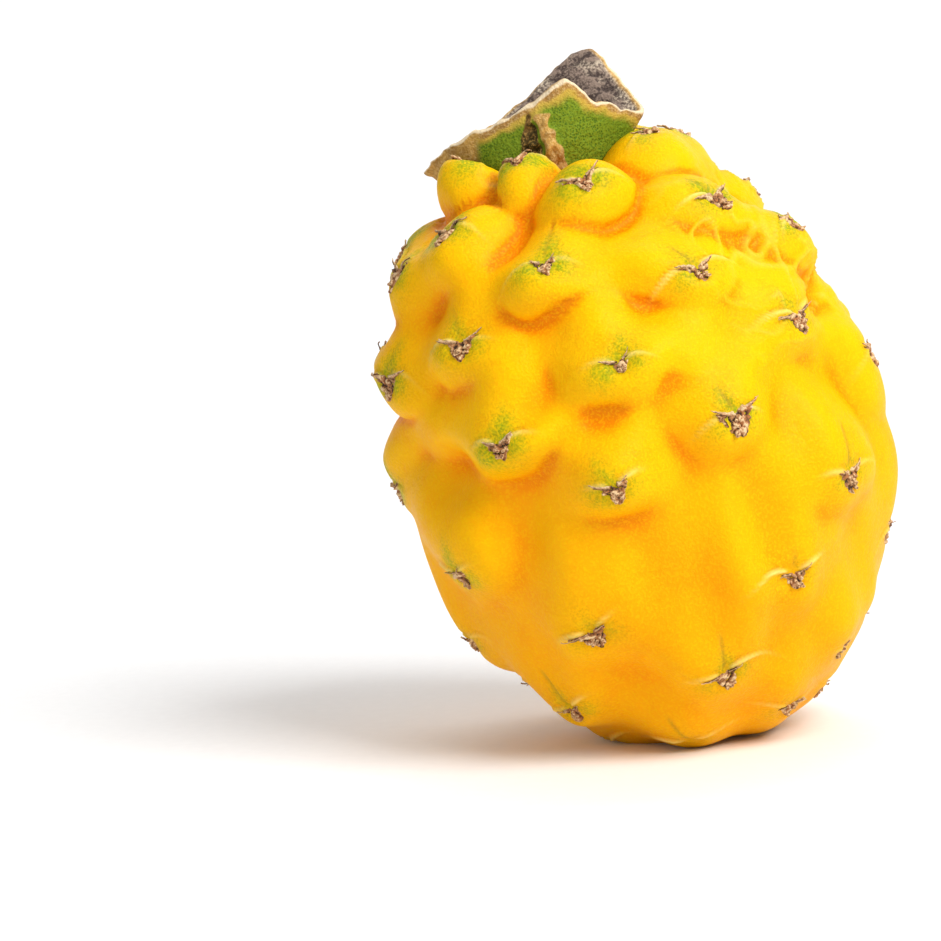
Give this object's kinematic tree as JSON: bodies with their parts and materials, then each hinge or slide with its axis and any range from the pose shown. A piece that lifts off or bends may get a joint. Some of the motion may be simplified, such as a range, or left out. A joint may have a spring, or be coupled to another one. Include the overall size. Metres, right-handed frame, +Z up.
{
  "type": "yellow dragon fruit",
  "caption": "Whole yellow dragon fruit with spiral rows of fleshy lobes, dried scars on their tips and a cut stem remnant, resting on a small flat spot.",
  "frame": {"origin": "on the surface that the fruit rests on, under the middle of its bounding box", "axes": "+Z up; the stem end leans towards -X; -Y is the side that faces the viewer"},
  "size_m": [0.0759, 0.0752, 0.1019],
  "materials": {
    "fruit_skin": "waxy yellow rind, orange in the creases, greenish round the dried scars",
    "stem": "green stem flesh with a tan corky rim and a dry grey-brown cut face",
    "dried_scar": "dry grey-brown scar tissue with pale ragged edges, on the tips of the lobes"
  },
  "bodies": {
    "root": {"fruit_body": "fruit_skin", "stem_stub": "stem"}
  },
  "joints": []
}
